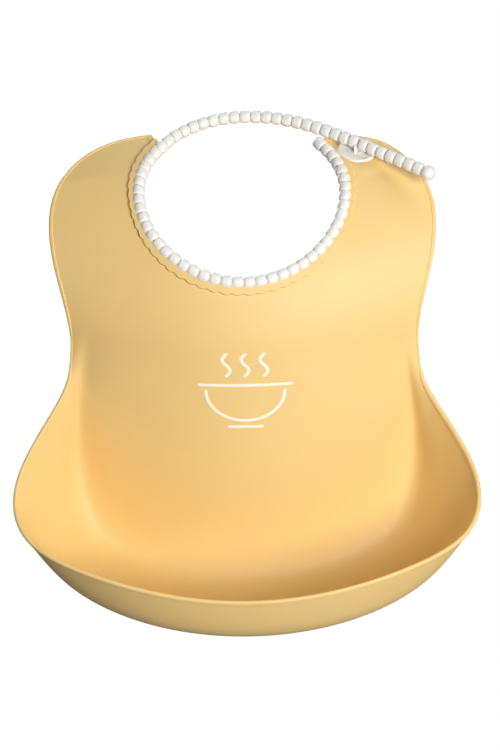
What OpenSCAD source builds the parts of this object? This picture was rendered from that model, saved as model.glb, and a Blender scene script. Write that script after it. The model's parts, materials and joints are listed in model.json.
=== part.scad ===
// Moulded soft bib with a scoop pocket, a beaded neck band and a button clasp.
// Millimetres, +Z up, +X to the right seen from the front, the front faces -Y.
// Every place is worked out in a moulding frame and then moved so that the
// origin is the centre of the neck opening.

/* [Front panel] */
// Radius that the panel wraps round, seen from above
wrap_radius = 190; // [150:5:260]
// Height on the panel where it starts to bend back over the chest
bend_start = 150; // [130:1:165]
// Radius of that bend
bend_radius = 98; // [80:1:120]
// Slope of the shoulders from upright, degrees
bend_limit = 70; // [60:1:78]
// Share of the wrap that is lost by the time the shoulders are reached
wrap_fade = 0.7; // [0.3:0.05:0.9]
// Thickness of the moulding
skin = 1.6; // [1.2:0.1:2.4]
// Thickness of the lip at the neckline
lip = 2.8; // [2:0.1:3.4]
// Thickness of the rolled edge at the pocket's rim
rim = 2.6; // [2:0.1:3.4]

/* [Neck] */
// Radius of the neckline, through the middle of the beads
neck_radius = 60.5; // [54:0.5:66]
// Height on the panel of the neckline's centre
neck_height = 254.5; // [250:0.5:262]
// How far each end of the neckline climbs past the widest place, degrees
neck_end = 38.5; // [30:0.5:44]
// Gap from the middle of the beads out to the edge of the body
edge_gap = 2; // [1.5:0.1:2.5]

/* [Beads] */
// Diameter of a bead
bead_d = 7.5; // [6:0.1:8.5]
// Length of a bead along the band
bead_length = 5.8; // [5:0.1:6]
// Rounding at a bead's ends
bead_round = 2; // [1:0.1:2.2]
// Diameter of the thin neck between two beads
neck_d = 3.4; // [2.6:0.1:3.6]
// Diameter of the end bead
end_bead_d = 8.6; // [8:0.1:10]
// Beads moulded on the neckline
fixed_beads = 42; // [38:1:46]
// Beads of the free strap from the left shoulder to the clasp
strap_beads = 20; // [18:1:22]
// Beads of the tail past the clasp
tail_beads = 8; // [6:1:10]

/* [Strap route] */
// Slope of the strap's loop behind the neck, degrees
strap_slope = 20; // [10:1:26]
// Heading of the strap where it leaves the shoulder, degrees from the chord
start_heading = 60; // [50:1:66]
// Heading where it reaches the clasp, degrees from the chord
clasp_heading = -33; // [-42:1:-24]
// Heading of the tail's end, degrees from the chord
tail_heading = -36; // [-44:1:-24]

/* [Clasp] */
// Clasp's place on the right shoulder, sideways
clasp_x = 69; // [62:1:76]
// Clasp's height on the panel
clasp_height = 287; // [280:1:292]
// Diameter of the clasp's disc
disc_d = 24; // [20:0.5:26]
// Thickness of the disc
disc_t = 1.8; // [1.4:0.1:2.4]
// Thickness of the fork that grips a neck between two beads
fork_t = 0.8; // [0.6:0.1:1]
// Radius of the fork's notch
notch_r = 2.6; // [2.2:0.1:3]
// Diameter of the stem through the shoulder
stem_d = 5; // [4:0.5:6]
// Diameter of the backing washer
backing_d = 15; // [12:0.5:18]
// Thickness of the backing washer
backing_t = 1.4; // [1:0.1:2]

/* [Printed bowl] */
// Height of the print's middle on the panel
print_height = 128; // [110:1:140]
// Width of the bowl
bowl_w = 46; // [30:1:60]
// Width of a printed line
line_w = 1.9; // [1:0.1:3]
// Thickness of the ink, a little of it in the skin
ink_t = 0.5; // [0.3:0.1:0.8]

/* [Hidden] */
bead_r = bead_d / 2;
band_parts = strap_beads + tail_beads;
bend_end = bend_start + bend_radius * bend_limit * PI / 180;
fade_length = 120;
clasp_place = [clasp_x, clasp_height];

bead_names = [for (k = [1:band_parts]) str("strap_bead_", k < 10 ? "0" : "", k)];

// ---- vector helpers

function unit(v) = v / norm(v);
function clamp01(t) = min(max(t, 0), 1);
function smooth(t) = let (c = clamp01(t)) c * c * (3 - 2 * c);

// Sum of list[0] up to list[k - 1], kept as running sums
function running(list, i = 0, sum = [0, 0]) =
    i >= len(list) ? [sum] : concat([sum], running(list, i + 1, sum + list[i]));

// ---- the panel: a flat pattern (sideways, height) bent into its place

function bend_angle(s) = min(max((s - bend_start) / bend_radius * 180 / PI, 0), bend_limit);
function past_bend(s) = max(s - bend_end, 0);
function wrap_share(s) = 1 - wrap_fade * clamp01((s - bend_start) / fade_length);
function wrap_depth(x, s) = wrap_share(s) * x * x / (2 * wrap_radius);
function panel(p) =
    let (a = bend_angle(p[1]), d = wrap_depth(p[0], p[1]), over = past_bend(p[1]))
    [p[0],
     bend_radius * (1 - cos(a)) + over * sin(a) + d * cos(a),
     min(p[1], bend_start) + bend_radius * sin(a) + over * cos(a) - d * sin(a)];
function panel_normal(p, e = 0.5) =
    unit(cross(panel(p + [e, 0]) - panel(p - [e, 0]), panel(p + [0, e]) - panel(p - [0, e])));
function neck_point(a, r) = [r * cos(a), neck_height + r * sin(a)];

// ---- clamped cubic spline: a control list, with u from 0 to 1

function knot(i, n) = clamp01((i - 3) / (n - 3));
function part_of(a, b, top) = b > a ? top / (b - a) : 0;
function weight(i, d, u, n) =
    d == 0
        ? (u >= knot(i, n) && u < knot(i + 1, n) ? 1 : 0)
        : part_of(knot(i, n), knot(i + d, n), u - knot(i, n)) * weight(i, d - 1, u, n)
          + part_of(knot(i + 1, n), knot(i + d + 1, n), knot(i + d + 1, n) - u)
            * weight(i + 1, d - 1, u, n);
function weights(n, u) = [for (i = [0:n - 1]) weight(i, 3, min(u, 0.999999), n)];
function mirrored(list) =
    [for (i = [len(list) - 1:-1:1]) [-list[i][0], for (j = [1:len(list[i]) - 1]) list[i][j]]];
function both_sides(list) = concat(mirrored(list), list);

// ---- stations of the body, from the middle of the front round to the shoulder.
// Each joins a place on the neckline to a place on the outline.

// Neckline angle of each station, -90 at the front
station_angles = [-90, -76, -62, -50, -39, -29, -20, -10, 1, 12, 22, 31, neck_end];
// Pocket stations: sideways, height, and how far the point lies behind the
// panel's own curve. Heel of the pocket, foot of its front wall, then the rim.
heels = [[0, -2, 3], [38, 0, 2], [72, 8, 1], [96, 24, 2], [101, 56, 4], [102, 96, 2]];
feet = [[0, -1, -75], [41, 1, -76], [83, 8, -76], [114, 21, -70], [124, 47, -46], [111, 88, -14]];
rims = [[0, 36, -86], [48, 40, -89], [98, 50, -95], [134, 60, -98], [139, 79, -68], [119, 104, -27]];
// Shoulder stations: the outline in the flat pattern, waist first
outline = [[101.5, 127], [102, 167], [110.5, 206], [115, 241], [109.5, 275], [86, 303], [55, 304]];
// How far the five outer control points of a shoulder station reach
waist_reach = [0.8, 0.88, 0.92, 0.96, 1];
side_reach = [0.7, 0.82, 0.88, 0.94, 1];
shoulder_reach = [0.5, 0.65, 0.78, 0.9, 1];

function reach(k) = k == 0 ? waist_reach : k == 1 ? side_reach : shoulder_reach;
function out_point(k, j) =
    let (a = neck_point(station_angles[k + 6], neck_radius + edge_gap),
         q = a + (outline[k] - a) * reach(k)[j])
    [q[0], q[1], 0];
function outer_control(j) = concat(
    [for (k = [0:5])
        j == 0 ? heels[k]
        : j == 1 ? (heels[k] + feet[k]) / 2
        : j == 2 ? feet[k]
        : j == 3 ? 0.45 * feet[k] + 0.55 * rims[k]
        : rims[k]],
    [for (k = [0:len(outline) - 1]) out_point(k, j)]);
row_control = [for (j = [0:4]) both_sides(outer_control(j))];
angle_control = concat(
    [for (i = [len(station_angles) - 1:-1:1]) -180 - station_angles[i]], station_angles);
stations = len(angle_control);

// ---- the clasp's seat and the strap's route

strap_start = panel(neck_point(180 - neck_end, neck_radius));
seat = panel(clasp_place);
strap_height = skin / 2 + disc_t + bead_r + 0.35;
clasp_point = seat + panel_normal(clasp_place) * strap_height;
chord = clasp_point - strap_start;
chord_dir = unit(chord);
strap_normal = unit(cross(chord_dir, [0, cos(strap_slope), sin(strap_slope)]));
strap_back = cross(strap_normal, chord_dir);

// Heading of piece k of the strap, and the unit steps to each bead
function heading(k) =
    let (t = (k - 0.5) / (strap_beads + 0.5))
    start_heading + (clasp_heading - start_heading) * sin(90 * min(t, 1))
    + (tail_heading - clasp_heading) * clamp01((t - 1) / 0.35);
steps = running([for (k = [1:band_parts]) [cos(heading(k)), sin(heading(k))]]);
clasp_step = (steps[strap_beads] + steps[strap_beads + 1]) / 2;
pitch = norm(chord) / norm(clasp_step);
// The route is turned so that the clasp's neck lands on the clasp
turn = -atan2(clasp_step[1], clasp_step[0]);
function in_plane(q) =
    chord_dir * (q[0] * cos(turn) - q[1] * sin(turn))
    + strap_back * (q[0] * sin(turn) + q[1] * cos(turn));
function strap_point(k) = strap_start + pitch * in_plane(steps[k]);
function strap_dir(k) =
    let (a = heading(k), b = heading(min(k + 1, band_parts)))
    in_plane([cos((a + b) / 2), sin((a + b) / 2)]);
clasp_dir = unit(strap_point(strap_beads + 1) - strap_point(strap_beads));
// The disc lies along the strap, as near the shoulder's own slope as it can
seat_normal =
    unit(panel_normal(clasp_place) - clasp_dir * (panel_normal(clasp_place) * clasp_dir));

// The shoulder is pressed flat under the disc and blends out past it
seat_flat = disc_d / 2 + 1;
seat_blend = 10;
function seated(p) =
    let (rise = (p - seat) * seat_normal,
         away = norm(p - seat - rise * seat_normal),
         share = 1 - smooth((away - seat_flat) / seat_blend))
    norm(p - seat) > seat_flat + seat_blend ? p : p - seat_normal * rise * share;

// ---- the body's skin as a grid: along the neckline, then out to the rim

along = 84;
across = 26;
inner_reach = [0, 0.25, 0.5, 0.75];
across_weights = [for (j = [0:across]) weights(9, j / across)];
function column_control(w) =
    let (start = neck_point(w * angle_control, neck_radius + edge_gap),
         heel = w * row_control[0],
         n = [start[0], start[1], 0],
         h = [heel[0], heel[1], 0])
    concat([for (f = inner_reach) n + (h - n) * f], [for (row = row_control) w * row]);
function body_point(q) = seated(panel([q[0], q[1]]) + [0, q[2], 0]);
grid = [for (i = [0:along])
    let (column = column_control(weights(stations, i / along)))
    [for (j = [0:across]) body_point(across_weights[j] * column)]];
function grid_normal(i, j) =
    unit(cross(
        grid[min(i + 1, along)][j] - grid[max(i - 1, 0)][j],
        grid[i][min(j + 1, across)] - grid[i][max(j - 1, 0)]));
// Thicker at the neckline's lip and at the rim's rolled edge
function skin_at(j) =
    skin + (lip - skin) * (1 - smooth(j / 3)) + (rim - skin) * (1 - smooth((across - j) / 2));
function side_points(side) =
    [for (i = [0:along], j = [0:across]) grid[i][j] + grid_normal(i, j) * side * skin_at(j) / 2];

row_len = across + 1;
side_len = (along + 1) * row_len;
function cell(i, j, base) =
    let (a = base + i * row_len + j) [a, a + row_len, a + row_len + 1, a + 1];
function two(q) = [[q[0], q[1], q[2]], [q[0], q[2], q[3]]];
function flipped(f) = [f[0], f[2], f[1]];
front_faces = [for (i = [0:along - 1], j = [0:across - 1]) each two(cell(i, j, 0))];
back_faces = [for (i = [0:along - 1], j = [0:across - 1])
    for (f = two(cell(i, j, side_len))) flipped(f)];
function edge_faces(a, b) = [[a, a + side_len, b + side_len], [a, b + side_len, b]];
neck_faces = [for (i = [0:along - 1]) each edge_faces(i * row_len, (i + 1) * row_len)];
rim_faces = [for (i = [0:along - 1])
    each edge_faces((i + 1) * row_len + across, i * row_len + across)];
first_faces = [for (j = [0:across - 1]) each edge_faces(j + 1, j)];
last_faces = [for (j = [0:across - 1])
    each edge_faces(along * row_len + j, along * row_len + j + 1)];

// ---- placing: the origin is the centre of the neck opening

origin = panel([0, neck_height]);

// Puts a shape drawn along +Z with its length on `dir` and +X on `up`
module placed(point, dir, up) {
    side = unit(cross(dir, up));
    top = cross(side, dir);
    q = point - origin;
    multmatrix([
        [top[0], side[0], dir[0], q[0]],
        [top[1], side[1], dir[1], q[1]],
        [top[2], side[2], dir[2], q[2]],
        [0, 0, 0, 1]])
        children();
}

// ---- beads

// Half outline of a bead turned about its axis. `socket` hollows the near end
// and `ball` adds the neck's ball at the far end.
socket_gap = 0.06;
neck_r = neck_d / 2;
half_length = bead_length / 2;
function corner(r, h, from, to, parts = 6) =
    [for (i = [0:parts]) let (a = from + (to - from) * i / parts)
        [r - bead_round + bead_round * cos(a), h + bead_round * sin(a)]];
function barrel_side(r, h) = concat(
    corner(r, bead_round - h, -90, 0), corner(r, h - bead_round, 0, 90));
function arc_about(c, r, from, to, parts = 7) =
    [for (i = [0:parts]) let (a = from + (to - from) * i / parts)
        [max(r * cos(a), 0), c + r * sin(a)]];
function socket_arc(h) =
    let (r = neck_r + socket_gap, open = asin((pitch / 2 - h) / r))
    arc_about(-pitch / 2, r, 90, open);
function ball_arc(h) = arc_about(pitch / 2, neck_r, -asin((pitch / 2 - h) / neck_r), 90);

module link_bead() {
    rotate_extrude($fn = 48)
        polygon(concat(
            socket_arc(half_length), barrel_side(bead_r, half_length), ball_arc(half_length)));
}

module end_bead() {
    r = end_bead_d / 2;
    rotate_extrude($fn = 48)
        polygon(concat(
            socket_arc(half_length),
            [for (i = [0:14]) let (a = -42 + 132 * i / 14)
                [max(r * cos(a), 0), r * sin(a)]]));
}

module fixed_bead(last) {
    rotate_extrude($fn = 48)
        polygon(concat(
            [[0, -half_length]],
            barrel_side(bead_r, half_length),
            last ? ball_arc(half_length) : [[0, half_length]]));
    if (!last)
        cylinder(h = pitch, r = neck_r - 0.1, $fn = 48);
}

// ---- the pieces

module bib_body() {
    color("khaki")
        difference() {
            translate(-origin)
                polyhedron(
                    points = concat(side_points(1), side_points(-1)),
                    faces = concat(
                        front_faces, back_faces, neck_faces, rim_faces, first_faces, last_faces),
                    convexity = 8);
            placed(seat, seat_normal, clasp_dir)
                translate([0, 0, -8])
                    cylinder(h = 16, d = stem_d + 0.2, $fn = 48);
        }
}

bead_turn = (180 + 2 * neck_end) / (fixed_beads - 1);
module neckline_strand() {
    color("white")
        for (k = [0:fixed_beads - 1]) {
            a = neck_end - k * bead_turn;
            here = neck_point(a, neck_radius);
            next = panel(neck_point(a - bead_turn / 2, neck_radius));
            before = panel(neck_point(a + bead_turn / 2, neck_radius));
            last = k == fixed_beads - 1;
            way = last ? strap_dir(0) : unit(next - before);
            placed(panel(here), way, panel_normal(here))
                fixed_bead(last);
        }
}

module clasp_plate() {
    color("whitesmoke") {
        placed(seat, seat_normal, clasp_dir) {
            translate([0, 0, skin / 2])
                rotate_extrude($fn = 96)
                    polygon([
                        [0, 0], [disc_d / 2 - 0.3, 0], [disc_d / 2, 0.3],
                        [disc_d / 2, disc_t - 0.7], [disc_d / 2 - 0.25, disc_t - 0.25],
                        [disc_d / 2 - 0.8, disc_t], [0, disc_t]]);
            translate([0, 0, -skin / 2 - backing_t - 0.6])
                cylinder(h = skin + backing_t + 0.8, d = stem_d, $fn = 48);
        }
        fork();
    }
}

// Two prongs that stand across the strap, in the groove between two beads
prong_w = 2.4;
prong_top = 1.2;
module fork() {
    half = notch_r + prong_w;
    foot = -(bead_r + 0.35 + disc_t / 2);
    placed(clasp_point - clasp_dir * fork_t / 2, clasp_dir, strap_normal)
        linear_extrude(height = fork_t)
            difference() {
                polygon([[foot, -half], [prong_top - 0.6, -half], [prong_top, -half + 0.6],
                    [prong_top, half - 0.6], [prong_top - 0.6, half], [foot, half]]);
                circle(r = notch_r, $fn = 48);
                translate([0, -notch_r])
                    square([prong_top + 1, 2 * notch_r]);
            }
}

module clasp_backing() {
    color("whitesmoke")
        placed(seat, seat_normal, clasp_dir)
            translate([0, 0, -skin / 2 - backing_t])
                difference() {
                    cylinder(h = backing_t, d = backing_d, $fn = 96);
                    translate([0, 0, -1])
                        cylinder(h = backing_t + 2, d = stem_d + 0.04, $fn = 48);
                }
}

// A printed line: a strip of ink on the panel along a closed or open route
function strip_ring(route, i, closed) =
    let (n = len(route),
         before = route[closed ? (i + n - 1) % n : max(i - 1, 0)],
         after = route[closed ? (i + 1) % n : min(i + 1, n - 1)],
         d = unit(after - before),
         out = [d[1], -d[0]] * line_w / 2,
         up = panel_normal(route[i]),
         low = up * (skin / 2 - 0.2),
         high = up * (skin / 2 - 0.2 + ink_t),
         a = panel(route[i] - out), b = panel(route[i] + out))
    [a + low, b + low, b + high, a + high];
module printed_line(route, closed) {
    n = len(route);
    spans = closed ? n : n - 1;
    points = [for (i = [0:n - 1]) each strip_ring(route, i, closed)];
    walls = [for (i = [0:spans - 1], s = [0:3])
        let (a = i * 4, b = ((i + 1) % n) * 4, t = (s + 1) % 4)
        each [[a + s, b + t, b + s], [a + s, a + t, b + t]]];
    caps = closed ? [] : concat(
        [[0, 2, 1], [0, 3, 2]],
        [[n * 4 - 4, n * 4 - 3, n * 4 - 2], [n * 4 - 4, n * 4 - 2, n * 4 - 1]]);
    translate(-origin)
        polyhedron(points = points, faces = concat(walls, caps), convexity = 4);
}

bowl_r = bowl_w / 2;
bowl_route = [for (i = [0:24]) let (a = 180 + 180 * i / 24)
    [bowl_r * cos(a), print_height + 0.82 * bowl_r * sin(a)]];
brim_route = [for (i = [-6:6]) [bowl_r * 1.16 * i / 6, print_height + 4]];
base_route = [for (i = [-3:3]) [bowl_r * 0.42 * i / 3, print_height - 0.82 * bowl_r - 4]];
function steam_route(x) =
    [for (i = [0:12]) [x + 2.2 * sin(360 * i / 12), print_height + 10 + i * 1.15]];
module print_motif() {
    color("white") {
        printed_line(bowl_route, false);
        printed_line(brim_route, false);
        printed_line(base_route, false);
        for (x = [-11, 0, 11])
            printed_line(steam_route(x), false);
    }
}

module strap_bead(k) {
    color("white")
        placed(strap_point(k), strap_dir(k), strap_normal)
            if (k < band_parts)
                link_bead();
            else
                end_bead();
}

bib_body();
neckline_strand();
clasp_plate();
clasp_backing();
print_motif();
for (k = [1:band_parts])
    strap_bead(k);
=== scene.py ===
import json
import math

import bmesh
import bpy
import numpy as np
from mathutils import Matrix, Vector


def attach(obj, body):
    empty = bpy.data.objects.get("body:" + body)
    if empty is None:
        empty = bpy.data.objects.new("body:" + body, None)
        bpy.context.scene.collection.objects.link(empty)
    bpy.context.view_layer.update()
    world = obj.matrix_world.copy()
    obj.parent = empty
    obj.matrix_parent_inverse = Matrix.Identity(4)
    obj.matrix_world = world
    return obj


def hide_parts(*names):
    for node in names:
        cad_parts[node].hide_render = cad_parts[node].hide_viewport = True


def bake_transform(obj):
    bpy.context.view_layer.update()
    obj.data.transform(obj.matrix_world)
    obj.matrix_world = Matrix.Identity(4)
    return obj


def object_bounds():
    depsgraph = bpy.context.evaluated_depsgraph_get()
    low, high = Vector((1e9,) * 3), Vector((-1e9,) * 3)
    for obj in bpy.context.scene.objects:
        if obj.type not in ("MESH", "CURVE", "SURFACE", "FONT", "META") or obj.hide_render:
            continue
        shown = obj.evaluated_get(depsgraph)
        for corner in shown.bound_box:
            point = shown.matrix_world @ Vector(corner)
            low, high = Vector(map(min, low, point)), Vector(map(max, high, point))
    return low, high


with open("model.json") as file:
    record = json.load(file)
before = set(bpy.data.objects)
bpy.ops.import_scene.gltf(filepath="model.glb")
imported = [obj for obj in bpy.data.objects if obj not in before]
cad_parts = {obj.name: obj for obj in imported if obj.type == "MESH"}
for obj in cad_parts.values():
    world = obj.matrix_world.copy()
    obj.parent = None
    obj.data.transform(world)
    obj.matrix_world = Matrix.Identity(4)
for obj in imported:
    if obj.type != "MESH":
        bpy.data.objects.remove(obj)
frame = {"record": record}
CAD_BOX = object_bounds()

# ---------------------------------------------------------------- dimensions
# Metres. The moulding frame has the panel's middle upright at x = y = 0 and the
# pocket's floor near z = 0. ORIGIN is the centre of the neck opening in it.

MM = 0.001

WRAP_RADIUS = 190 * MM
BEND_START = 150 * MM
BEND_RADIUS = 98 * MM
BEND_LIMIT = math.radians(70)
BEND_END = BEND_START + BEND_RADIUS * BEND_LIMIT
WRAP_FADE = 0.7
FADE_LENGTH = 120 * MM

SKIN = 1.6 * MM
RIM_RISE = 0.5 * MM
RIM_WIDTH = 2.7 * MM
LIP_RISE = 1.55 * MM
LIP_WIDTH = 4.4 * MM
LIP_SCALLOP = 1.1 * MM
LIP_BACK_RISE = 0.5 * MM

NECK_RADIUS = 60.5 * MM
NECK_HEIGHT = 254.5 * MM
NECK_END = 38.5
EDGE_GAP = 2 * MM
FIXED_BEADS = 42
BEAD_TURN = (180 + 2 * NECK_END) / (FIXED_BEADS - 1)

BEAD_RADIUS = 3.75 * MM
BEAD_HALF = 3.0 * MM
BEAD_ROUND = 1.9 * MM
BEAD_DROP = 1.2 * MM
CLASP_BEAD_HALF = 2.8 * MM
CLASP_BEAD_ROUND = 2.1 * MM
BEAD_CROWN = 0.08 * MM
BAND_NECK = 2.15 * MM
END_BEAD_RADIUS = 4.3 * MM
STRAP_BEADS = 20
TAIL_BEADS = 8
BAND_PARTS = STRAP_BEADS + TAIL_BEADS
STRAP_SLOPE = math.radians(20)
START_HEADING, CLASP_HEADING, TAIL_HEADING = 60, -33, -36

CLASP_PLACE = (69 * MM, 287 * MM)
DISC_RADIUS = 12 * MM
DISC_THICK = 1.8 * MM
STEM_RADIUS = 2.5 * MM
BACKING_RADIUS = 7.5 * MM
BACKING_THICK = 1.4 * MM
FORK_THICK = 0.8 * MM
NOTCH_RADIUS = 2.6 * MM
PRONG_WIDTH = 2.4 * MM
PRONG_TOP = 1.2 * MM
BEAD_LIFT = 0.35 * MM
SEAT_FLAT = DISC_RADIUS + 1 * MM
SEAT_BLEND = 10 * MM

PRINT_HEIGHT = 128 * MM
BOWL_RADIUS = 23 * MM
LINE_WIDTH = 1.9 * MM
INK_RISE = 0.12 * MM


def unit(v):
    return v / np.linalg.norm(v, axis=-1, keepdims=True)


def smooth(t):
    t = np.clip(t, 0, 1)
    return t * t * (3 - 2 * t)


# ------------------------------------------------------------- the bent panel

def panel(x, s):
    """A point (sideways, height) of the flat pattern, bent into its place."""
    x, s = np.broadcast_arrays(np.asarray(x, float), np.asarray(s, float))
    bend = np.clip((s - BEND_START) / BEND_RADIUS, 0, BEND_LIMIT)
    over = np.maximum(s - BEND_END, 0)
    share = 1 - WRAP_FADE * np.clip((s - BEND_START) / FADE_LENGTH, 0, 1)
    depth = share * x * x / (2 * WRAP_RADIUS)
    back = BEND_RADIUS * (1 - np.cos(bend)) + over * np.sin(bend) + depth * np.cos(bend)
    rise = (np.minimum(s, BEND_START) + BEND_RADIUS * np.sin(bend)
            + over * np.cos(bend) - depth * np.sin(bend))
    return np.stack([x, back, rise], -1)


def panel_normal(x, s, step=0.5 * MM):
    """The panel's outward normal, towards the front and the top."""
    across = panel(x + step, s) - panel(x - step, s)
    upward = panel(x, s + step) - panel(x, s - step)
    return unit(np.cross(across, upward))


def neckline(degrees, radius):
    """A point of the neckline's circle in the flat pattern."""
    a = np.radians(degrees)
    return radius * np.cos(a), NECK_HEIGHT + radius * np.sin(a)


ORIGIN = panel(0, NECK_HEIGHT)


# --------------------------------------------------------- the strap's route

SEAT = panel(*CLASP_PLACE)
STRAP_START = panel(*neckline(180 - NECK_END, NECK_RADIUS))
STRAP_HEIGHT = SKIN / 2 + DISC_THICK + BEAD_RADIUS + BEAD_LIFT
CLASP_POINT = SEAT + panel_normal(*CLASP_PLACE) * STRAP_HEIGHT
CHORD = CLASP_POINT - STRAP_START
CHORD_DIR = unit(CHORD)
STRAP_NORMAL = unit(np.cross(CHORD_DIR, [0, math.cos(STRAP_SLOPE), math.sin(STRAP_SLOPE)]))
STRAP_BACK = np.cross(STRAP_NORMAL, CHORD_DIR)


TAIL_BLEND = 0.35


def heading(k):
    """Heading of piece k of the strap, degrees from the chord."""
    t = (k - 0.5) / (STRAP_BEADS + 0.5)
    return (START_HEADING + (CLASP_HEADING - START_HEADING) * math.sin(math.pi / 2 * min(t, 1))
            + (TAIL_HEADING - CLASP_HEADING) * min(max((t - 1) / TAIL_BLEND, 0), 1))


def compass(degrees):
    return np.array([math.cos(math.radians(degrees)), math.sin(math.radians(degrees))])


STEPS = np.concatenate([
    np.zeros((1, 2)), np.cumsum([compass(heading(k)) for k in range(1, BAND_PARTS + 1)], axis=0)])
CLASP_STEP = (STEPS[STRAP_BEADS] + STEPS[STRAP_BEADS + 1]) / 2
PITCH = np.linalg.norm(CHORD) / np.linalg.norm(CLASP_STEP)
TURN = -math.atan2(CLASP_STEP[1], CLASP_STEP[0])


def in_plane(q):
    """A vector of the strap's plane, turned so that it meets the clasp."""
    return (CHORD_DIR * (q[0] * math.cos(TURN) - q[1] * math.sin(TURN))
            + STRAP_BACK * (q[0] * math.sin(TURN) + q[1] * math.cos(TURN)))


def strap_point(k):
    return STRAP_START + PITCH * in_plane(STEPS[k])


def strap_dir(k):
    return in_plane(compass((heading(k) + heading(min(k + 1, BAND_PARTS))) / 2))


def strap_joint(k):
    """Middle of the thin neck between beads k - 1 and k."""
    return (strap_point(k - 1) + strap_dir(k - 1) * PITCH / 2
            + strap_point(k) - strap_dir(k) * PITCH / 2) / 2


CLASP_DIR = unit(strap_point(STRAP_BEADS + 1) - strap_point(STRAP_BEADS))
SHOULDER_NORMAL = panel_normal(*CLASP_PLACE)
SEAT_NORMAL = unit(SHOULDER_NORMAL - CLASP_DIR * (SHOULDER_NORMAL @ CLASP_DIR))


def press_seat(p):
    """Flattens the shoulder under the clasp's disc and blends out past it."""
    rise = (p - SEAT) @ SEAT_NORMAL
    away = np.linalg.norm(p - SEAT - rise[..., None] * SEAT_NORMAL, axis=-1)
    share = 1 - smooth((away - SEAT_FLAT) / SEAT_BLEND)
    near = np.linalg.norm(p - SEAT, axis=-1) <= SEAT_FLAT + SEAT_BLEND
    return p - (rise * share * near)[..., None] * SEAT_NORMAL


# ------------------------------------------------------ the body's stations
# Each station runs from the neckline out to the body's outline. A pocket
# station passes the heel at the foot of the panel, the foot of the front wall
# and the rim: sideways, height, and how far behind the panel's own curve.

STATION_ANGLES = [-90, -76, -62, -50, -39, -29, -20, -10, 1, 12, 22, 31, NECK_END]
HEELS = [(0, -2, 3), (38, 0, 2), (72, 8, 1), (96, 24, 2), (101, 56, 4), (102, 96, 2)]
FEET = [(0, -1, -75), (41, 1, -76), (83, 8, -76), (114, 21, -70), (124, 47, -46), (111, 88, -14)]
RIMS = [(0, 36, -86), (48, 40, -89), (98, 50, -95), (134, 60, -98), (139, 79, -68),
        (119, 104, -27)]
OUTLINE = [(101.5, 127), (102, 167), (110.5, 206), (115, 241), (109.5, 275), (86, 303), (55, 304)]
WAIST_REACH = (0.8, 0.88, 0.92, 0.96, 1)
SIDE_REACH = (0.7, 0.82, 0.88, 0.94, 1)
SHOULDER_REACH = (0.5, 0.65, 0.78, 0.9, 1)
INNER_REACH = (0, 0.25, 0.5, 0.75)
FOOT_SHARE = 0.45


def station_controls():
    """Outer control points and neckline angle of every station, left to right."""
    half = []
    for heel, foot, edge in zip(HEELS, FEET, RIMS):
        heel, foot, edge = (np.array(p) * MM for p in (heel, foot, edge))
        wall = FOOT_SHARE * foot + (1 - FOOT_SHARE) * edge
        half.append([heel, (heel + foot) / 2, foot, wall, edge])
    for k, corner in enumerate(OUTLINE):
        reach = (WAIST_REACH, SIDE_REACH)[k] if k < 2 else SHOULDER_REACH
        start = np.array(neckline(STATION_ANGLES[k + len(HEELS)], NECK_RADIUS + EDGE_GAP))
        end = np.array(corner) * MM
        half.append([np.append(start + (end - start) * f, 0.0) for f in reach])
    half = np.array(half)
    left = half[:0:-1] * np.array([-1, 1, 1])
    angles = np.array(STATION_ANGLES, float)
    return np.concatenate([left, half]), np.concatenate([-180 - angles[:0:-1], angles])


def spline_weights(count, u):
    """Weights of a clamped uniform cubic B-spline with `count` controls."""
    u = np.clip(np.asarray(u, float), 0, 1 - 1e-9)
    knots = np.concatenate([np.zeros(3), np.linspace(0, 1, count - 2), np.ones(3)])
    table = [((u >= knots[i]) & (u < knots[i + 1])).astype(float) for i in range(count + 3)]
    for degree in (1, 2, 3):
        longer = []
        for i in range(count + 3 - degree):
            value = np.zeros_like(u)
            if knots[i + degree] > knots[i]:
                value += (u - knots[i]) / (knots[i + degree] - knots[i]) * table[i]
            if knots[i + degree + 1] > knots[i + 1]:
                rest = (knots[i + degree + 1] - u) / (knots[i + degree + 1] - knots[i + 1])
                value += rest * table[i + 1]
            longer.append(value)
        table = longer
    return np.stack(table, -1)


CONTROLS, CONTROL_ANGLES = station_controls()


def station_columns(t):
    """Neckline angle and the nine controls of each column, t from 0 to 1."""
    weights = spline_weights(len(CONTROL_ANGLES), t)
    angle = weights @ CONTROL_ANGLES
    outer = np.einsum("tq,qjk->tjk", weights, CONTROLS)
    x, s = neckline(angle, NECK_RADIUS + EDGE_GAP)
    start = np.stack([x, s, 0 * x], -1)
    heel = outer[:, 0] * np.array([1, 1, 0])
    inner = np.stack([start + (heel - start) * f for f in INNER_REACH], 1)
    return angle, np.concatenate([inner, outer], 1)


def skin_middle(controls, w):
    """Middle of the skin at w, from 0 at the neckline to 1 at the outline."""
    flat = np.einsum("twj,tjk->twk", spline_weights(controls.shape[1], w), controls)
    place = panel(flat[..., 0], flat[..., 1])
    place[..., 1] += flat[..., 2]
    return press_seat(place)


# --------------------------------------------------------------- mesh helpers

def mesh_object(name, points, faces, merge=0.0):
    """A smooth-shaded mesh object from moulding-frame points."""
    mesh = bpy.data.meshes.new(name)
    mesh.from_pydata((np.asarray(points) - ORIGIN).tolist(), [], faces)
    shape = bmesh.new()
    shape.from_mesh(mesh)
    if merge:
        bmesh.ops.remove_doubles(shape, verts=shape.verts, dist=merge)
    bmesh.ops.recalc_face_normals(shape, faces=shape.faces)
    shape.to_mesh(mesh)
    shape.free()
    mesh.shade_smooth()
    piece = bpy.data.objects.new(name, mesh)
    bpy.context.scene.collection.objects.link(piece)
    return piece


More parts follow.
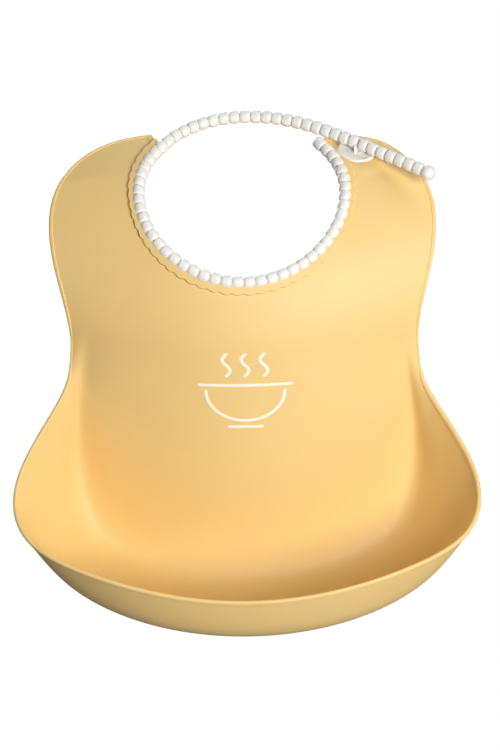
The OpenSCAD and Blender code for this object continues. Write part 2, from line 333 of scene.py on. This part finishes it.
def fit(piece, material, body=None, nodes=()):
    """Gives a piece its finish, its body and the nodes that it stands for."""
    piece.data.materials.clear()
    piece.data.materials.append(material)
    if body:
        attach(piece, body)
    if nodes:
        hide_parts(*nodes)
    return piece


def loops_to_faces(rings, size):
    """Quads between closed rings of `size` points each."""
    return [(i * size + j, i * size + (j + 1) % size,
             (i + 1) * size + (j + 1) % size, (i + 1) * size + j)
            for i in range(rings - 1) for j in range(size)]


def ring(centre, way, up, radius, sides):
    side = unit(np.cross(way, up))
    top = np.cross(side, way)
    angles = np.linspace(0, 2 * math.pi, sides, endpoint=False)
    return centre + radius * (np.cos(angles)[:, None] * side + np.sin(angles)[:, None] * top)


BEAD_SIDES = 28


def turned_piece(name, stations, sides=BEAD_SIDES):
    """A closed round bar: stations are (centre, direction, up, radius)."""
    points = np.concatenate([ring(*station, sides) for station in stations])
    faces = loops_to_faces(len(stations), sides)
    last = (len(stations) - 1) * sides
    faces.append(tuple(range(sides))[::-1])
    faces.append(tuple(range(last, last + sides)))
    return mesh_object(name, points, faces)


# -------------------------------------------------------------- the bib's skin

COLUMNS_PER_BEAD = 8
EDGE_TURNS = (0.25, 0.5, 0.75, 1.05, 1.4, 1.8, 2.2, 2.7)
INNER_ROWS = 96
LIP_TOP_SHARES = (0, 0.05, 0.12, 0.25, 0.45, 0.65, 0.82, 0.92)
LIP_STEP = [(-0.32, 1.0), (-0.20, 0.97), (-0.10, 0.86), (-0.02, 0.66), (0.05, 0.42),
            (0.12, 0.2), (0.20, 0.07), (0.32, 0.0)]
RIM_MARGINS = (3.4, 3.15, 2.95, 2.8, 2.65, 2.5, 2.35, 2.15, 1.9, 1.6, 1.3)
CAP_STEPS = 7
RIM_BLEND = 0.55 * MM
LOOKUP_COLUMNS, LOOKUP_ROWS = 4001, 900
WELD_REACH = 0.004 * MM


def rim_profile(margin):
    """Share of the rim's rise at a distance in from the outline."""
    return 1 - smooth((margin - RIM_WIDTH) / RIM_BLEND + 0.5)


def column_places():
    """Places t of the columns: even along the beads and closer at the ends."""
    fine = np.linspace(0, 1, LOOKUP_COLUMNS)
    angle = station_columns(fine)[0]
    low, high = angle[0], angle[-1]
    step = BEAD_TURN / COLUMNS_PER_BEAD
    even = np.arange(low + 4 * step, high - 3.9 * step, step)
    turns = np.concatenate([[low], low + np.array(EDGE_TURNS), even,
                            high - np.array(EDGE_TURNS)[::-1], [high]])
    return np.interp(turns, angle, fine)


def skin_rows(controls, border):
    """Distances from the neckline, and the share of the lip's rise at each."""
    fine = np.linspace(0, 1, LOOKUP_ROWS)
    dense = skin_middle(controls, np.broadcast_to(fine, (len(controls), len(fine))))
    run = np.linalg.norm(np.diff(dense, axis=1), axis=-1)
    run = np.concatenate([np.zeros((len(run), 1)), np.cumsum(run, axis=1)], axis=1)
    length = run[:, -1]
    room = length - (RIM_MARGINS[0] + 1.2) * MM
    border = np.minimum(border, room)
    rows, rise = [], []
    for share in LIP_TOP_SHARES:
        rows.append(share * (border + LIP_STEP[0][0] * MM))
        rise.append(1.0)
    for offset, height in LIP_STEP:
        rows.append(border + offset * MM)
        rise.append(height)
    start, end = rows[-1] + 0.25 * MM, length - (RIM_MARGINS[0] + 0.25) * MM
    for k in range(INNER_ROWS):
        u = k / (INNER_ROWS - 1)
        eased = 0.5 * u + 0.5 * (0.5 - 0.5 * math.cos(math.pi * u))
        rows.append(start + (end - start) * eased)
        rise.append(0.0)
    for margin in RIM_MARGINS:
        rows.append(length - margin * MM)
        rise.append(0.0)
    rows = np.stack(rows, 1)
    w = np.stack([np.interp(row, dist, fine) for row, dist in zip(rows, run)])
    return w, rows, length, np.array(rise)


def build_skin():
    """The moulded body as one closed skin with its lip and rolled rim."""
    t = column_places()
    angle, controls = station_columns(t)
    bead_phase = (angle - NECK_END) / BEAD_TURN
    border = LIP_WIDTH + LIP_SCALLOP * np.abs(np.cos(math.pi * bead_phase))
    w, rows, length, lip_share = skin_rows(controls, border)
    middle = skin_middle(controls, w)
    along = np.gradient(middle, axis=0)
    across = np.gradient(middle, axis=1)
    normal = unit(np.cross(along, across))
    facing = np.sign(np.sum(normal[:, 5] * panel_normal(*neckline(angle, NECK_RADIUS)), axis=-1))
    normal *= facing[:, None, None]

    gaps = np.linalg.norm(np.diff(middle, axis=0), axis=-1)
    from_left = np.concatenate([np.zeros((1, rows.shape[1])), np.cumsum(gaps, axis=0)])
    end_margin = np.minimum(from_left, from_left[-1] - from_left)
    margin = np.minimum(length[:, None] - rows, end_margin)
    rim = rim_profile(margin)
    lip = lip_share[None, :] * np.ones_like(rim)
    front = SKIN / 2 + np.maximum(LIP_RISE * lip, RIM_RISE * rim)
    back = SKIN / 2 + np.maximum(LIP_BACK_RISE * lip, RIM_RISE * rim)

    outward = unit(across)
    sideways = unit(along - np.sum(along * outward, -1, keepdims=True) * outward)
    loops = []
    cap = [math.pi * k / CAP_STEPS for k in range(1, CAP_STEPS)]
    for i in range(len(t)):
        loops.append(closed_loop(middle[i], normal[i], outward[i], front[i], back[i], cap, 1.0))
    for i, sign, where in ((0, -1, 0), (len(t) - 1, 1, None)):
        extra = []
        for k in range(1, CAP_STEPS // 2 + 2):
            lean = math.pi / 2 * k / (CAP_STEPS // 2 + 1)
            half = (front[i] + back[i])[:, None] / 2
            shifted = middle[i] + sign * sideways[i] * half * math.sin(lean)
            extra.append(closed_loop(shifted, normal[i], outward[i], front[i], back[i],
                                     cap, math.cos(lean)))
        if where == 0:
            loops = extra[::-1] + loops
        else:
            loops += extra
    size = len(loops[0])
    return mesh_object("bib_skin", np.concatenate(loops), loops_to_faces(len(loops), size),
                       merge=WELD_REACH)


def closed_loop(middle, normal, outward, front, back, cap, share):
    """Front layer, rolled rim, back layer and neckline edge of one column."""
    top = middle + normal * (front * share)[:, None]
    bottom = middle - normal * (back * share)[:, None]
    edges = []
    for row, sign in ((-1, 1), (0, -1)):
        half = (front[row] + back[row]) / 2
        centre = middle[row] + normal[row] * (front[row] - back[row]) / 2 * share
        angles = cap if sign > 0 else cap[::-1]
        aside, up = sign * outward[row] * half, normal[row] * half * share
        edges.append(np.array([centre + aside * math.sin(a) + up * math.cos(a)
                               for a in angles]))
    return np.concatenate([top, edges[0], bottom[::-1], edges[1]])


# -------------------------------------------------------------- beaded band

def bead_end(half, corner, drop):
    """(distance from the bead's middle, radius) over one rounded end."""
    turn = [math.pi / 2 * k / 6 for k in range(7)]
    return [(half - corner + corner * math.sin(a), BEAD_RADIUS - drop + drop * math.cos(a))
            for a in turn]


PLAIN_END = (BEAD_HALF, BEAD_ROUND, BEAD_DROP)
NOTCHED_END = (CLASP_BEAD_HALF, CLASP_BEAD_ROUND, CLASP_BEAD_ROUND)


def bead_profile(near=PLAIN_END, far=PLAIN_END):
    """(place along the axis, radius) of a barrel bead from its near end."""
    low = [(-place, radius) for place, radius in reversed(bead_end(*near))]
    return low + [(0.0, BEAD_RADIUS + BEAD_CROWN)] + bead_end(*far)


def neckline_frames():
    """Centre, direction and up of each bead on the neckline, right end first."""
    places = []
    for k in range(FIXED_BEADS):
        a = NECK_END - k * BEAD_TURN
        after = panel(*neckline(a - BEAD_TURN / 2, NECK_RADIUS))
        before = panel(*neckline(a + BEAD_TURN / 2, NECK_RADIUS))
        here = neckline(a, NECK_RADIUS)
        way = strap_dir(0) if k == FIXED_BEADS - 1 else unit(after - before)
        places.append((panel(*here), way, panel_normal(*here)))
    return places


FIRST_BEAD_EXTRA = 1.7 * MM
FIRST_BEAD_SLIM = 0.93
FIRST_BEAD_TURNS = (0.12, 0.35, 0.6, 0.85, 1.1, 1.35, math.pi / 2)


def build_neckline_band():
    """Beads moulded along the neckline, with the necks between them."""
    stations = []
    for k, (centre, way, up) in enumerate(neckline_frames()):
        profile = bead_profile()
        if k == 0:
            dome = [(-BEAD_HALF - FIRST_BEAD_EXTRA * math.cos(a),
                     BEAD_RADIUS * FIRST_BEAD_SLIM * math.sin(a)) for a in FIRST_BEAD_TURNS]
            profile = dome + profile[7:]
        stations += [(centre + way * place, way, up, radius) for place, radius in profile]
    return turned_piece("neckline_beads", stations)


def strap_stations(first, last):
    """Stations of beads `first` to `last` of the free strap, necks between."""
    stations = []
    for k in range(first, last + 1):
        centre, way = strap_point(k), strap_dir(k)
        profile = bead_profile()
        if k == STRAP_BEADS:
            profile = bead_profile(far=NOTCHED_END)
        if k == STRAP_BEADS + 1:
            profile = bead_profile(near=NOTCHED_END)
        if k == BAND_PARTS:
            turn = [math.pi * j / 18 for j in range(2, 18)]
            profile = [(-END_BEAD_RADIUS * math.cos(a), END_BEAD_RADIUS * math.sin(a))
                       for a in turn] + [(END_BEAD_RADIUS * 0.998, 0.2 * MM)]
        stations += [(centre + way * place, way, STRAP_NORMAL, radius)
                     for place, radius in profile]
    return stations


NECK_INSET = 0.9 * MM
NECK_STATIONS = 9


def neck_tube(name, k, sides=20):
    """The thin neck between strap beads k - 1 and k."""
    here, there = strap_point(k - 1), strap_point(k)
    a = here + strap_dir(k - 1) * (BEAD_HALF - NECK_INSET)
    b = there - strap_dir(k) * (BEAD_HALF - NECK_INSET)
    middle = strap_joint(k)
    stations = []
    for u in np.linspace(0, 1, NECK_STATIONS):
        centre = (1 - u) ** 2 * a + 2 * u * (1 - u) * middle + u * u * b
        way = unit((1 - u) * strap_dir(k - 1) + u * strap_dir(k))
        stations.append((centre, way, STRAP_NORMAL, BAND_NECK))
    return turned_piece(name, stations, sides)


# ------------------------------------------------------------------- clasp

def placed(point, way, up):
    """Matrix that puts a shape drawn along +Z with +X on `up`."""
    side = unit(np.cross(way, up))
    top = np.cross(side, way)
    return np.stack([top, side, way], 1), point


def lathe(name, profile, base, sides=96):
    """A turned solid from (radius, height) pairs about a placed axis."""
    turn, point = base
    angles = np.linspace(0, 2 * math.pi, sides, endpoint=False)
    points = []
    for radius, height in profile:
        local = np.stack([radius * np.cos(angles), radius * np.sin(angles),
                          np.full(sides, height)], -1)
        points.append(point + local @ turn.T)
    faces = loops_to_faces(len(profile), sides)
    last = (len(profile) - 1) * sides
    faces.append(tuple(range(sides))[::-1])
    faces.append(tuple(range(last, last + sides)))
    return mesh_object(name, np.concatenate(points), faces)


def rounded_run(corners, radius, steps=5):
    """A (radius, height) outline with its inner corners rounded."""
    out = [corners[0]]
    for before, here, after in zip(corners, corners[1:], corners[2:]):
        before, here, after = map(np.array, (before, here, after))
        a = here + unit(before - here) * min(radius, np.linalg.norm(before - here) * 0.45)
        b = here + unit(after - here) * min(radius, np.linalg.norm(after - here) * 0.45)
        for j in range(steps + 1):
            u = j / steps
            out.append(tuple((1 - u) ** 2 * a + 2 * u * (1 - u) * here + u * u * b))
    out.append(corners[-1])
    return out


def build_disc():
    base = placed(SEAT + SEAT_NORMAL * SKIN / 2, SEAT_NORMAL, CLASP_DIR)
    r, t = DISC_RADIUS, DISC_THICK
    corners = [(STEM_RADIUS, -SKIN - BACKING_THICK + 0.2 * MM), (STEM_RADIUS, 0.02 * MM),
               (r - 0.4 * MM, 0.02 * MM), (r, 0.5 * MM), (r, t - 0.5 * MM), (r - 0.7 * MM, t),
               (r - 1.6 * MM, t), (r - 1.9 * MM, t - 0.22 * MM), (4.6 * MM, t - 0.16 * MM),
               (4.2 * MM, t), (0.2 * MM, t + 0.02 * MM)]
    return lathe("clasp_disc", rounded_run(corners, 0.35 * MM), base)


def build_backing():
    base = placed(SEAT - SEAT_NORMAL * SKIN / 2, SEAT_NORMAL, CLASP_DIR)
    r, t = BACKING_RADIUS, BACKING_THICK
    corners = [(0.2 * MM, -0.01 * MM), (r - 0.2 * MM, -0.01 * MM), (r, -0.3 * MM),
               (r, -t + 0.4 * MM), (r - 0.6 * MM, -t), (STEM_RADIUS + 0.5 * MM, -t),
               (STEM_RADIUS + 0.2 * MM, -t - 0.25 * MM), (0.2 * MM, -t - 0.3 * MM)]
    return lathe("backing_washer", rounded_run(corners, 0.3 * MM), base)


def build_fork():
    """Two prongs across the strap, joined by a foot on the disc."""
    half = NOTCH_RADIUS + PRONG_WIDTH
    foot = -(BEAD_RADIUS + BEAD_LIFT + DISC_THICK / 2)
    arc = [(-NOTCH_RADIUS * math.cos(a), NOTCH_RADIUS * math.sin(a))
           for a in np.linspace(-math.pi / 2, math.pi / 2, 17)]
    outline = ([(foot, -half - 0.8 * MM), (foot + 1.6 * MM, -half), (PRONG_TOP - 0.7 * MM, -half),
                (PRONG_TOP - 0.15 * MM, -half + 0.3 * MM), (PRONG_TOP, -half + 0.8 * MM),
                (PRONG_TOP, -NOTCH_RADIUS - 0.35 * MM), (PRONG_TOP - 0.3 * MM, -NOTCH_RADIUS)]
               + arc
               + [(PRONG_TOP - 0.3 * MM, NOTCH_RADIUS), (PRONG_TOP, NOTCH_RADIUS + 0.35 * MM),
                  (PRONG_TOP, half - 0.8 * MM), (PRONG_TOP - 0.15 * MM, half - 0.3 * MM),
                  (PRONG_TOP - 0.7 * MM, half), (foot + 1.6 * MM, half), (foot, half + 0.8 * MM)])
    turn, point = placed(CLASP_POINT, CLASP_DIR, STRAP_NORMAL)
    count = len(outline)
    points = []
    for depth in (-FORK_THICK / 2, FORK_THICK / 2):
        for up, side in outline:
            points.append(point + turn @ np.array([up, side, depth]))
    faces = [tuple(range(count))[::-1], tuple(range(count, 2 * count))]
    faces += [(j, (j + 1) % count, count + (j + 1) % count, count + j) for j in range(count)]
    piece = mesh_object("clasp_fork", points, faces)
    bevel = piece.modifiers.new("eased_edges", "BEVEL")
    bevel.width = 0.16 * MM
    bevel.segments = 2
    bevel.limit_method = "ANGLE"
    bevel.angle_limit = math.radians(50)
    return piece


# ------------------------------------------------------------------- print

def ink_line(route, width=LINE_WIDTH):
    """Points and faces of one printed line that follows the skin."""
    route = np.array(route)
    way = unit(np.gradient(route, axis=0))
    out = np.stack([way[:, 1], -way[:, 0]], -1)
    section = [(-0.5, -0.5), (-0.47, 0.5), (-0.38, 0.9), (0.38, 0.9), (0.47, 0.5), (0.5, -0.5)]
    ends = 5
    rings = []
    order = ([(0, -math.sin(a), math.cos(a)) for a in np.linspace(math.pi / 2 * 0.96, 0, ends)]
             + [(k, 0.0, 1.0) for k in range(1, len(route) - 1)]
             + [(len(route) - 1, math.sin(a), math.cos(a))
                for a in np.linspace(0, math.pi / 2 * 0.96, ends)])
    for k, ahead, share in order:
        centre = route[k] + way[k] * ahead * width / 2
        up = panel_normal(*route[k])
        for aside, height in section:
            x, s = centre + out[k] * aside * share * width
            rings.append(panel(x, s) + up * (SKIN / 2 + height * INK_RISE))
    size = len(section)
    faces = loops_to_faces(len(order), size)
    last = (len(order) - 1) * size
    faces.append(tuple(range(size))[::-1])
    faces.append(tuple(range(last, last + size)))
    return rings, faces


def build_print():
    """A steaming bowl in thin printed lines."""
    routes = []
    turn = np.linspace(math.pi, 2 * math.pi, 65)
    routes.append([(BOWL_RADIUS * math.cos(a), PRINT_HEIGHT + 0.82 * BOWL_RADIUS * math.sin(a))
                   for a in turn])
    routes.append([(1.16 * BOWL_RADIUS * f, PRINT_HEIGHT + 4 * MM)
                   for f in np.linspace(-1, 1, 25)])
    routes.append([(0.42 * BOWL_RADIUS * f, PRINT_HEIGHT - 0.82 * BOWL_RADIUS - 4 * MM)
                   for f in np.linspace(-1, 1, 11)])
    for x in (-11, 0, 11):
        routes.append([(x * MM + 2.2 * MM * math.sin(2 * math.pi * k / 36),
                        PRINT_HEIGHT + 10 * MM + k * 1.15 * MM / 3) for k in range(37)])
    points, faces = [], []
    for route in routes:
        more, cells = ink_line(route)
        faces += [tuple(len(points) + v for v in cell) for cell in cells]
        points += more
    return mesh_object("printed_bowl", points, faces)


# ---------------------------------------------------------------- materials

def new_material(name):
    material = bpy.data.materials.new(name)
    material.use_nodes = True
    tree = material.node_tree
    return material, tree, tree.nodes["Principled BSDF"]


def srgb(r, g, b):
    def lin(c):
        c /= 255
        return c / 12.92 if c <= 0.04045 else ((c + 0.055) / 1.055) ** 2.4
    return (lin(r), lin(g), lin(b), 1.0)


def moulded_grain_group():
    """Fine moulded grain: a colour, a roughness and a normal that vary."""
    tree = bpy.data.node_groups.new("moulded_grain", "ShaderNodeTree")
    face = tree.interface
    for name, kind, value in (
            ("Base", "NodeSocketColor", (0.8, 0.8, 0.8, 1)),
            ("Deep", "NodeSocketColor", (0.7, 0.7, 0.7, 1)),
            ("Cloud Scale", "NodeSocketFloat", 12.0),
            ("Cloud Amount", "NodeSocketFloat", 0.5),
            ("Grain Scale", "NodeSocketFloat", 1800.0),
            ("Grain Depth", "NodeSocketFloat", 0.00002),
            ("Roughness", "NodeSocketFloat", 0.45),
            ("Roughness Spread", "NodeSocketFloat", 0.08)):
        socket = face.new_socket(name, in_out="INPUT", socket_type=kind)
        socket.default_value = value
    for name, kind in (("Color", "NodeSocketColor"), ("Roughness", "NodeSocketFloat"),
                       ("Normal", "NodeSocketVector")):
        face.new_socket(name, in_out="OUTPUT", socket_type=kind)
    nodes, link = tree.nodes, tree.links.new
    given, result = nodes.new("NodeGroupInput"), nodes.new("NodeGroupOutput")
    place = nodes.new("ShaderNodeTexCoord")
    cloud = nodes.new("ShaderNodeTexNoise")
    cloud.inputs["Detail"].default_value = 4
    cloud.inputs["Roughness"].default_value = 0.55
    grain = nodes.new("ShaderNodeTexNoise")
    grain.inputs["Detail"].default_value = 3
    grain.inputs["Roughness"].default_value = 0.6
    for texture, name in ((cloud, "Cloud Scale"), (grain, "Grain Scale")):
        link(place.outputs["Object"], texture.inputs["Vector"])
        link(given.outputs[name], texture.inputs["Scale"])
    spread = nodes.new("ShaderNodeMapRange")
    spread.inputs["From Min"].default_value = 0.35
    spread.inputs["From Max"].default_value = 0.7
    link(cloud.outputs["Fac"], spread.inputs["Value"])
    amount = nodes.new("ShaderNodeMath")
    amount.operation = "MULTIPLY"
    link(spread.outputs["Result"], amount.inputs[0])
    link(given.outputs["Cloud Amount"], amount.inputs[1])
    tint = nodes.new("ShaderNodeMix")
    tint.data_type = "RGBA"
    link(amount.outputs["Value"], tint.inputs["Factor"])
    link(given.outputs["Base"], tint.inputs["A"])
    link(given.outputs["Deep"], tint.inputs["B"])
    link(tint.outputs["Result"], result.inputs["Color"])
    centred = nodes.new("ShaderNodeMath")
    centred.operation = "SUBTRACT"
    link(grain.outputs["Fac"], centred.inputs[0])
    centred.inputs[1].default_value = 0.5
    rough = nodes.new("ShaderNodeMath")
    rough.operation = "MULTIPLY_ADD"
    link(centred.outputs["Value"], rough.inputs[0])
    link(given.outputs["Roughness Spread"], rough.inputs[1])
    link(given.outputs["Roughness"], rough.inputs[2])
    link(rough.outputs["Value"], result.inputs["Roughness"])
    bump = nodes.new("ShaderNodeBump")
    bump.inputs["Strength"].default_value = 0.6
    link(given.outputs["Grain Depth"], bump.inputs["Distance"])
    link(grain.outputs["Fac"], bump.inputs["Height"])
    link(bump.outputs["Normal"], result.inputs["Normal"])
    return tree


GRAIN = moulded_grain_group()


def grained_material(name, base, deep, values, **sockets):
    """A Principled material that takes its surface from the moulded grain."""
    material, tree, shader = new_material(name)
    grain = tree.nodes.new("ShaderNodeGroup")
    grain.node_tree = GRAIN
    grain.inputs["Base"].default_value = srgb(*base)
    grain.inputs["Deep"].default_value = srgb(*deep)
    for key, value in values.items():
        grain.inputs[key].default_value = value
    tree.links.new(grain.outputs["Color"], shader.inputs["Base Color"])
    tree.links.new(grain.outputs["Roughness"], shader.inputs["Roughness"])
    tree.links.new(grain.outputs["Normal"], shader.inputs["Normal"])
    for key, value in sockets.items():
        shader.inputs[key.replace("_", " ")].default_value = value
    return material


soft_rubber = grained_material(
    "soft_yellow_rubber", (240, 205, 135), (236, 200, 127),
    {"Cloud Scale": 9.0, "Cloud Amount": 0.6, "Grain Scale": 2600.0,
     "Grain Depth": 0.00003, "Roughness": 0.54, "Roughness Spread": 0.16},
    IOR=1.5)
band_plastic = grained_material(
    "white_band_plastic", (240, 238, 233), (236, 233, 227),
    {"Cloud Scale": 60.0, "Cloud Amount": 0.5, "Grain Scale": 3200.0,
     "Grain Depth": 0.00002, "Roughness": 0.42, "Roughness Spread": 0.14},
    IOR=1.46)
clasp_plastic = grained_material(
    "white_clasp_plastic", (244, 240, 231), (238, 233, 223),
    {"Cloud Scale": 45.0, "Cloud Amount": 0.5, "Grain Scale": 2400.0,
     "Grain Depth": 0.00002, "Roughness": 0.34, "Roughness Spread": 0.12}, IOR=1.48)
print_ink = grained_material(
    "white_print_ink", (253, 247, 232), (250, 240, 216),
    {"Cloud Scale": 500.0, "Cloud Amount": 0.7, "Grain Scale": 5200.0,
     "Grain Depth": 0.00002, "Roughness": 0.55, "Roughness Spread": 0.2}, IOR=1.45)


# ------------------------------------------------------------------ assembly

BODY_OF = {n: body for body, names in frame["record"]["behaviour"]["bodies"].items()
           for n in names}
BEAD_NODE = {k: f"strap_bead_{k:02d}" for k in range(1, BAND_PARTS + 1)}

fit(build_skin(), soft_rubber, "bib", ["bib_body"])
fit(build_neckline_band(), band_plastic, "bib", ["neckline_strand"])
fit(build_disc(), clasp_plastic, "bib", ["clasp_plate"])
fit(build_fork(), clasp_plastic, "bib")
fit(build_backing(), clasp_plastic, "bib", ["clasp_backing"])
fit(build_print(), print_ink, "bib", ["print_motif"])


def build_strap():
    """Beads in runs that share a body, and a curved neck tube, on no body, ahead of each run."""
    first = 1
    while first <= BAND_PARTS:
        body = BODY_OF[BEAD_NODE[first]]
        last = first
        while last < BAND_PARTS and BODY_OF[BEAD_NODE[last + 1]] == body:
            last += 1
        name = f"strap_beads_{first:02d}" + ("" if first == last else f"_{last:02d}")
        run = turned_piece(name, strap_stations(first, last))
        fit(run, band_plastic, body, [BEAD_NODE[k] for k in range(first, last + 1)])
        neck = fit(neck_tube(f"strap_neck_{first:02d}", first), band_plastic)
        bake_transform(neck)
        first = last + 1


build_strap()


# ----------------------------------------------------------- camera and light

def aim(thing, place, target, roll=0.0):
    look = Vector(target) - Vector(place)
    turn = look.to_track_quat("-Z", "Y").to_matrix().to_4x4()
    thing.matrix_world = Matrix.Translation(place) @ turn @ Matrix.Rotation(roll, 4, "Z")


VIEW_TARGET = Vector((0, -0.005, 0.122)) - Vector(ORIGIN)
VIEW_DISTANCE = 1.4
VIEW_RISE = math.radians(26)
VIEW_ROLL = math.radians(-1.0)
VIEW_WIDTH = 0.4373
SENSOR_WIDTH = 36

bpy.context.scene.view_settings.view_transform = "Standard"
camera_data = bpy.data.cameras.new("studio_camera")
camera = bpy.data.objects.new("studio_camera", camera_data)
bpy.context.scene.collection.objects.link(camera)
camera_data.sensor_width = SENSOR_WIDTH
camera_data.lens = SENSOR_WIDTH * VIEW_DISTANCE / VIEW_WIDTH
camera_data.shift_x = 0.0060
camera_data.shift_y = 0.0387
away = Vector((0, -math.cos(VIEW_RISE), math.sin(VIEW_RISE)))
aim(camera, VIEW_TARGET + away * VIEW_DISTANCE, VIEW_TARGET, VIEW_ROLL)
bpy.context.scene.camera = camera


LIT_POINT = Vector((0, -0.04, -0.1))


def soft_lamp(name, around, rise, size, power, away=1.5):
    """A round soft box; around is 0 in front of the bib and 90 at the clasp's side."""
    data = bpy.data.lights.new(name, "AREA")
    data.shape = "DISK"
    data.size = size
    data.energy = power
    lamp = bpy.data.objects.new(name, data)
    bpy.context.scene.collection.objects.link(lamp)
    turn, up = math.radians(around), math.radians(rise)
    place = LIT_POINT + away * Vector((math.sin(turn) * math.cos(up),
                                       -math.cos(turn) * math.cos(up), math.sin(up)))
    aim(lamp, place, LIT_POINT)


soft_lamp("main_soft_box", 27, 19, 0.8, 23.8)
soft_lamp("clasp_side_low_box", 82, 0, 0.8, 3.0)
soft_lamp("clasp_side_high_box", 110, 50, 0.8, 1.6)
soft_lamp("left_side_box", -60, 20, 0.8, 3.4)
soft_lamp("overhead_box", 180, 60, 0.8, 5.6)
soft_lamp("rear_box", 195, 4, 1.0, 24.0)


def white_to_camera(tree, plain, white):
    """What the camera sees directly is white; the light that others get is plain."""
    path = tree.nodes.new("ShaderNodeLightPath")
    mix = tree.nodes.new("ShaderNodeMixShader")
    tree.links.new(path.outputs["Is Camera Ray"], mix.inputs["Fac"])
    tree.links.new(plain, mix.inputs[1])
    tree.links.new(white, mix.inputs[2])
    return mix.outputs["Shader"]


def build_world():
    world = bpy.data.worlds.new("pale_studio")
    world.use_nodes = True
    tree = world.node_tree
    dim = tree.nodes["Background"]
    dim.inputs["Color"].default_value = (1, 1, 1, 1)
    dim.inputs["Strength"].default_value = 0.02
    bright = tree.nodes.new("ShaderNodeBackground")
    bright.inputs["Color"].default_value = (1, 1, 1, 1)
    tree.links.new(white_to_camera(tree, dim.outputs["Background"],
                                   bright.outputs["Background"]),
                   tree.nodes["World Output"].inputs["Surface"])
    bpy.context.scene.world = world


FLOOR_DROP = 0.25
FLOOR_HALF = 4.0


def build_floor():
    low, half = CAD_BOX[0][2] - FLOOR_DROP, FLOOR_HALF
    mesh = bpy.data.meshes.new("pale_floor")
    mesh.from_pydata([(-half, -half, low), (half, -half, low), (half, half, low),
                      (-half, half, low)], [], [(0, 1, 2, 3)])
    floor = bpy.data.objects.new("pale_floor", mesh)
    bpy.context.scene.collection.objects.link(floor)
    paint = grained_material(
        "pale_floor_paint", (120, 120, 120), (112, 112, 112),
        {"Cloud Scale": 1.5, "Cloud Amount": 0.4, "Grain Scale": 300.0,
         "Grain Depth": 0.0001, "Roughness": 0.85, "Roughness Spread": 0.1})
    tree = paint.node_tree
    glow = tree.nodes.new("ShaderNodeEmission")
    glow.inputs["Strength"].default_value = 1.06
    blend = tree.nodes.new("ShaderNodeMixShader")
    blend.inputs["Fac"].default_value = 0.95
    shader = tree.nodes["Principled BSDF"].outputs["BSDF"]
    tree.links.new(shader, blend.inputs[1])
    tree.links.new(glow.outputs["Emission"], blend.inputs[2])
    tree.links.new(white_to_camera(tree, shader, blend.outputs["Shader"]),
                   tree.nodes["Material Output"].inputs["Surface"])
    floor.data.materials.append(paint)


build_world()
build_floor()
